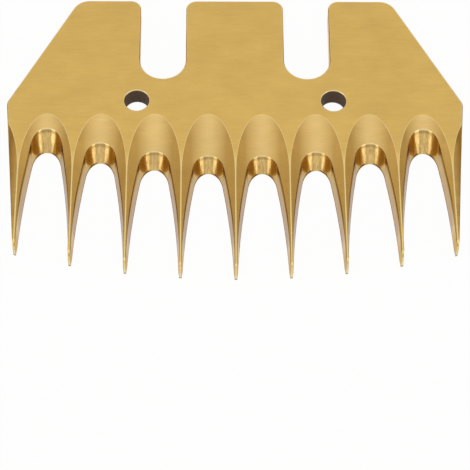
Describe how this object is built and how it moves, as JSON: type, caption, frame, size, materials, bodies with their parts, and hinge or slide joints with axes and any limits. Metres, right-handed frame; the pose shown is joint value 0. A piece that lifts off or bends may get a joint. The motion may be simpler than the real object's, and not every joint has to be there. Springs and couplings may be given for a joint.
{
  "type": "sheep shearing comb",
  "caption": "Flat shearing comb: a gold-coated steel plate with open screw slots and pin holes in its heel and a row of long, fluted, tapered teeth along its front.",
  "frame": {"origin": "centre of the comb's outline, on its flat cutter face", "axes": "+X along the row of teeth, +Y from the tips to the heel, +Z from the cutter face to the skin side"},
  "size_m": [0.0766, 0.0544, 0.0033],
  "materials": {
    "gold_coat": "satin gold-coloured hard coat over ground steel"
  },
  "bodies": {
    "root": {"comb": "gold_coat"}
  },
  "joints": []
}
